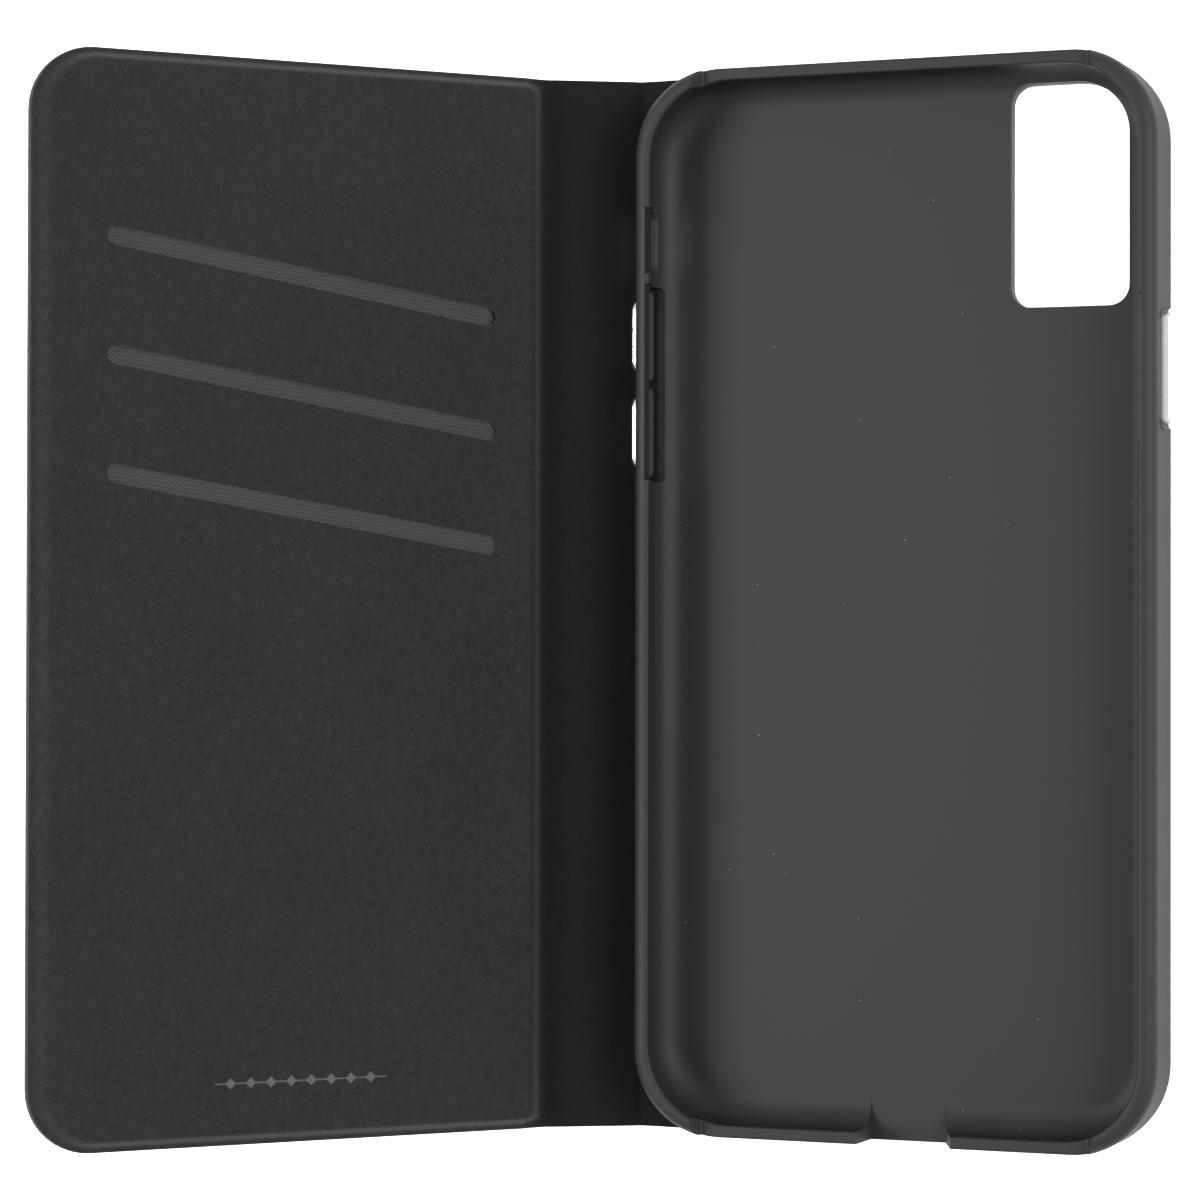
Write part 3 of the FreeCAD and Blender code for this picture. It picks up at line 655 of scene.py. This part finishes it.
def pebbledLeather():
    finish = Finish("pebbledLeather", Specular_IOR_Level=0.42, Coat_Weight=0.06, Coat_Roughness=0.4)
    warp = finish.noise(leatherGrain["warpSize"], 2)
    pebbles = finish.cells(leatherGrain["pebbleSize"], feature="SMOOTH_F1", Smoothness=0.35, Randomness=0.95)
    creases = finish.cells(leatherGrain["pebbleSize"], feature="DISTANCE_TO_EDGE")
    pores = finish.noise(leatherGrain["poreSize"], 3, 0.65)
    height = creases.over(0.16, 0.16) * 0.8 + (1 - pebbles) * 0.35 + pores * 0.25 + warp * 0.3
    base = finish.mixed(creases.over(0.1, 0.1), leatherGrain["crease"], leatherGrain["pebble"])
    base = finish.mixed(warp.over(0.5, 0.3) * 0.3, base, leatherGrain["worn"])
    finish.colour(base)
    finish.rough(0.52 - creases.over(0.12, 0.12) * 0.1 + pores * 0.12)
    finish.relief(height, leatherGrain["relief"])
    return finish.material


buttonMetal = {
    "scratchSize": 0.0001,
    "cloudSize": 0.003,
    "cloud": grey(240, (1, 1, 1.01)),
    "clear": grey(250),
    "relief": 0.0000004,
}


def polishedMetal():
    finish = Finish("polishedMetal", Metallic=1.0, Specular_IOR_Level=0.5)
    scratch = finish.noise(buttonMetal["scratchSize"], 3, 0.6, (1, 0.04, 1))
    cloud = finish.noise(buttonMetal["cloudSize"], 2)
    finish.colour(finish.mixed(cloud, buttonMetal["cloud"], buttonMetal["clear"]))
    finish.rough(0.16 + scratch * 0.1)
    finish.relief(scratch, buttonMetal["relief"])
    return finish.material


boardPulp = {
    "pulpSize": 0.0006,
    "dark": grey(120, (1.03, 1, 0.95)),
    "light": grey(160, (1.02, 1, 0.95)),
    "relief": 0.00003,
}


def fibreBoard():
    finish = Finish("greyBoard", Specular_IOR_Level=0.2)
    pulp = finish.noise(boardPulp["pulpSize"], 4, 0.7, (1, 0.4, 1))
    finish.colour(finish.mixed(pulp.over(0.5, 0.2), boardPulp["dark"], boardPulp["light"]))
    finish.rough(0.82 + pulp * 0.14)
    finish.relief(pulp, boardPulp["relief"])
    return finish.material


film = {
    "streakSize": 0.002,
    "darkShare": 0.92,
    "relief": 0.00001,
}


def thinFilm(name, level):
    finish = Finish(name, Specular_IOR_Level=0.45)
    streaks = finish.noise(film["streakSize"], 3, 0.5, (1, 0.2, 1))
    finish.colour(finish.mixed(streaks, grey(level * film["darkShare"]), grey(level)))
    finish.rough(0.3 + streaks * 0.25)
    finish.relief(streaks, film["relief"])
    return finish.material


finishes = {
    "tray_shell": softTouch(),
    "outer_leather": pebbledLeather(),
    "spine_lining": suedeNap("spineNap", 15, (0.98, 1.01, 1.0), past=29),
    "suede_lining": suedeNap("coverNap", 29, (1.0, 0.97, 1.05), mark=True),
    "woven_sheet": twill(),
    "button_metal": polishedMetal(),
    "adhesive_film": thinFilm("adhesiveFilm", 190),
    "stiff_board": fibreBoard(),
    "stiffener_strip": thinFilm("stiffenerPlastic", 150),
}
slotOfNode = {part["node"]: part["material_slot"] for part in frame["record"]["subparts"]}
for node, piece in frame["nodes"].items():
    piece.data.materials.clear()
    piece.data.materials.append(finishes[slotOfNode[node]])
print("finishes on", len(frame["nodes"]), "nodes")


def makePart(name, shape, slot, body=None, nodes=()):
    # a finished piece in its slot's material, standing for the nodes that it replaces
    piece = makePiece(name, *shape, slot)
    piece.data.materials.append(finishes[slot])
    if body:
        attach(piece, body)
    if nodes:
        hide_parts(*nodes)
    return piece


# ---- leather outside
coverLeather = makePart("cover_leather_panel", leatherPanel(), "outer_leather", "cover", ["cover_leather"])

backEdge, coverNear, paddedNear = outer["backEdge"], outer["coverNear"], outer["paddedNear"]


def bendLines(*marks):
    # x positions between marks, fine where a bend or a step runs and plain elsewhere
    return np.unique(np.concatenate([np.linspace(low, high, count) for low, high, count in marks]))


spineLining = {
    "topOnBack": 0.0011,       # height of the lining's face where it goes under the tray
    "climb": 0.0016,           # length over which it leaves the back's level for the stiffener's
    "stiffenerInset": 0.0012,  # how far inside the folds the stiffener's ends lie
    "stepLead": 0.0004,        # how far before the bend's end the step onto the cover starts
    "brimDrop": 0.00012,       # how much lower the sheet's two ends lie than its middle
    "fineReach": 0.002,        # how far from a fold its fine lines go on
}


def liningHeights(xs):
    # the lining lies on the leather at the folds and on the stiffener between, and steps up onto the padded cover
    inset, climb, drop = spineLining["stiffenerInset"], spineLining["climb"], spineLining["brimDrop"]
    onStiffener = smoothStep((backEdge - inset - xs) / climb) * smoothStep((xs - coverNear - inset) / inset)
    stepStart = coverNear + spineLining["stepLead"]
    step = smoothStep((stepStart - xs) / (stepStart - paddedNear))
    low = layers["leather"] + layers["stiffener"] * onStiffener
    low = low + (suede["footRise"] - layers["leather"]) * (step > 0)
    onBack = spineLining["topOnBack"]
    plainTop = onBack + (layers["liningTop"] - onBack) * smoothStep((backEdge - xs) / climb)
    high = plainTop + (layers["suedeTop"] - plainTop) * step
    brim = plainTop - drop + (layers["suedeTop"] - suede["borderDrop"] - plainTop + drop) * step
    return high, low, suede["border"], brim


nearBack, nearCover = spineFoldX - spineLining["fineReach"], coverNear + spineLining["fineReach"]
bends = {
    "back": {
        "bodies": ("back", "spine"),
        "fold": spineFoldX,
        "marks": ((outer["spineMiddle"], nearBack, 5), (nearBack, backEdge, 17), (backEdge, outer["underTray"], 3)),
        "leatherNodes": ("spine_leather",),
        "liningNodes": ("spine_lining",),
    },
    "cover": {
        "bodies": ("spine", "cover"),
        "fold": coverFoldX,
        "marks": ((paddedNear, nearCover, 27), (nearCover, outer["spineMiddle"], 5)),
        "leatherNodes": (),
        "liningNodes": (),
    },
}
for part, bend in bends.items():
    start, end = (foldedPoint(bend["fold"] + side * outer["foldReach"], axisRise) for side in (1, -1))
    xs = bendLines(*bend["marks"])
    plain = np.full(len(xs), layers["leather"])
    leather = makePart("spine_leather_" + part, crossStrip(xs, plain, 0 * plain), "outer_leather",
                       nodes=bend["leatherNodes"])
    lining = makePart("spine_lining_" + part, crossStrip(xs, *liningHeights(xs)), "spine_lining",
                      nodes=bend["liningNodes"])
    for piece in (leather, lining):
        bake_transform(piece)
    flatSize = (xs[-1] - xs[0], 2 * outer["halfLength"])
print("spine made")


backMeshing = {
    "edgeRound": 0.00025,
    "edgeReach": 1e-5,               # how near to the fold's edge a point counts as on it
    "mergeDistance": 1e-6,
    "flatAngle": math.radians(1),    # faces that meet at less are made one
    "sharpAngle": math.radians(35),
    "edgeAngle": math.radians(50),   # edges that turn by more are rounded
    "edgeSteps": 3,
}


def backSheet(node, name, edgeRound):
    # a copy of the node's sheet, merged, its edge at the fold drawn back under the tray to meet the spine's strip
    mesh = frame["nodes"][node].data.copy()
    mesh.name = name
    points = np.empty(len(mesh.vertices) * 3, np.float32)
    mesh.vertices.foreach_get("co", points)
    points = points.reshape(-1, 3)
    points[points[:, 0] < backEdge + backMeshing["edgeReach"], 0] = outer["underTray"]
    mesh.vertices.foreach_set("co", points.ravel())
    form = bmesh.new()
    form.from_mesh(mesh)
    bmesh.ops.remove_doubles(form, verts=form.verts, dist=backMeshing["mergeDistance"])
    bmesh.ops.dissolve_limit(form, angle_limit=backMeshing["flatAngle"], verts=form.verts, edges=form.edges)
    form.to_mesh(mesh)
    form.free()
    if "custom_normal" in mesh.attributes:
        mesh.attributes.remove(mesh.attributes["custom_normal"])
    mesh.polygons.foreach_set("use_smooth", np.ones(len(mesh.polygons), bool))
    mesh.set_sharp_from_angle(angle=backMeshing["sharpAngle"])
    piece = bpy.data.objects.new(name, mesh)
    bpy.context.scene.collection.objects.link(piece)
    if edgeRound:
        bevel = piece.modifiers.new("edge", "BEVEL")
        bevel.width, bevel.segments = edgeRound, backMeshing["edgeSteps"]
        bevel.limit_method, bevel.angle_limit = "ANGLE", backMeshing["edgeAngle"]
    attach(piece, "back")
    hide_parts(node)
    return piece


backLeather = backSheet("back_leather", "back_leather_panel", backMeshing["edgeRound"])
backLining = backSheet("back_lining", "back_lining_sheet", 0)
print("back sheets made")

# ---- cover lining
coverSuede = makePart("cover_suede", coverLining(), "suede_lining", "cover", ["cover_lining"])
print("cover lining made:", len(coverSuede.data.polygons), "faces")

# ---- woven sheets behind the slots
woven = {
    "halfWidth": 0.03,
    "foot": (-0.064, -0.061, -0.058),
    "head": (0.054, 0.0416, 0.02575),
    "gridStep": (0.001, 0.008),          # a quad's width, and its length as a share of the sheet
    "endLines": np.linspace(-0.0014, 0, 8),
    "shownRise": 0.00228,                # height to which a sheet swells in its slot, just under the lining
    "swellHalf": 0.0045,                 # half of the swelling's width, and the length of its slope
    "swellSlope": 0.0025,
    "swellEnds": ((0.001, 0.002), (-0.0002, 0.0009)),   # how far past the slot's two ends it stops, and its slopes
    "play": 0.00001,                     # gap above and below a sheet
}


def wovenSheet(layer):
    # a flat sheet from its foot to a slanted head, swollen up into its slot but not at the slot's end by the spine
    low, thick, play = layers["boardTop"] + layer * layers["wovenSheet"], layers["wovenSheet"], woven["play"]
    centreX, halfSpan, slope = slots["centreX"], slots["span"] / 2, math.tan(slots["slant"])
    xs = lines(centreX - woven["halfWidth"], centreX + woven["halfWidth"], woven["gridStep"][0],
               [centreX + halfSpan], woven["endLines"])
    u = lines(0, 1, woven["gridStep"][1])
    x, t = np.meshgrid(xs, u)
    outward = x - centreX
    headY = woven["head"][layer] - slope * outward
    y = woven["foot"][layer] + (headY - woven["foot"][layer]) * t
    across = y + slope * outward - slots["centreY"][layer]
    lift = max(0, woven["shownRise"] - low - thick)
    (farPast, farSlope), (spinePast, spineSlope) = woven["swellEnds"]
    ends = smoothStep((halfSpan + farPast + outward) / farSlope)
    ends = ends * smoothStep((halfSpan + spinePast - outward) / spineSlope)
    bulge = lift * smoothStep((woven["swellHalf"] - np.abs(across)) / woven["swellSlope"]) * ends
    upper = np.stack([x, y, low + thick - play + bulge], axis=-1).reshape(-1, 3)
    lower = upper - (0, 0, thick - 2 * play)
    quads = gridFaces(*x.shape)
    # the sheet's outline as point numbers, round its four sides
    wide, high = len(xs), len(u)
    loop = np.concatenate([
        np.arange(wide),
        np.arange(1, high) * wide + wide - 1,
        (high - 1) * wide + np.arange(wide - 2, -1, -1),
        np.arange(high - 2, -1, -1) * wide,
    ])
    walls = np.stack([loop[:-1], loop[1:], loop[1:] + x.size, loop[:-1] + x.size], axis=1)
    return np.concatenate([upper, lower]), np.concatenate([quads, quads[:, ::-1] + x.size, walls])


for layer, node in enumerate(("pocket_back_sheet", "pocket_divider_upper", "pocket_divider_lower")):
    sheet = makePart(node + "_cloth", wovenSheet(layer), "woven_sheet", "cover", [node])
print("woven sheets made")

# ---- stage
stage = {
    "floorHalf": 1.5,
    "floorRise": -0.0003,   # just under the back's leather
    "floorGlow": 0.55,
    "floorRough": 0.9,
    "floorColour": (0.85, 0.85, 0.85, 1),
    "white": (1, 1, 1, 1),
    "skyStrength": 0.72,
}
floorMesh = bpy.data.meshes.new("floor")
half, rise = stage["floorHalf"], stage["floorRise"]
floorCorners = [(-half, -half, rise), (half, -half, rise), (half, half, rise), (-half, half, rise)]
floorMesh.from_pydata(floorCorners, [], [(0, 1, 2, 3)])
floor = bpy.data.objects.new("floor", floorMesh)
bpy.context.scene.collection.objects.link(floor)
floorFinish = Finish("paleFloor", Roughness=stage["floorRough"], Base_Color=stage["floorColour"],
                     Emission_Strength=stage["floorGlow"], Emission_Color=stage["white"])
floorMesh.materials.append(floorFinish.material)

world = bpy.data.worlds.new("studio")
bpy.context.scene.world = world
world.use_nodes = True
sky = world.node_tree.nodes["Background"].inputs
sky["Color"].default_value, sky["Strength"].default_value = stage["white"], stage["skyStrength"]

lamps = {
    "keyLamp": {"place": (-0.62, 0.02, 0.68), "size": 0.4, "power": 11.5},
    "fillLamp": {"place": (0.6, 0.1, 0.5), "size": 0.4, "power": 7.5},
}
for name, lamp in lamps.items():
    light = bpy.data.lights.new(name, "AREA")
    light.shape, light.size, light.energy = "SQUARE", lamp["size"], lamp["power"]
    holder = bpy.data.objects.new(name, light)
    bpy.context.scene.collection.objects.link(holder)
    holder.location = lamp["place"]
    holder.rotation_euler = (-Vector(lamp["place"])).to_track_quat("-Z", "Y").to_euler()

camera = {
    "place": (0.15059, -0.00636, 0.51056),
    "turn": (0.713, 21.031, 0.116),   # degrees about x, y and z; z is turned first, then x, then y
    "lens": 115.79,
    "sensor": 36,
    "clip": (0.01, 20),
}
view = bpy.data.cameras.new("camera")
view.lens, view.sensor_width = camera["lens"], camera["sensor"]
view.clip_start, view.clip_end = camera["clip"]
eye = bpy.data.objects.new("camera", view)
bpy.context.scene.collection.objects.link(eye)
aboutX, aboutY, aboutZ = (Matrix.Rotation(math.radians(turn), 4, axis)
                          for turn, axis in zip(camera["turn"], "XYZ"))
eye.matrix_world = Matrix.Translation(camera["place"]) @ aboutY @ aboutX @ aboutZ
bpy.context.scene.camera = eye
bpy.context.scene.view_settings.view_transform = "Standard"
print("stage set")
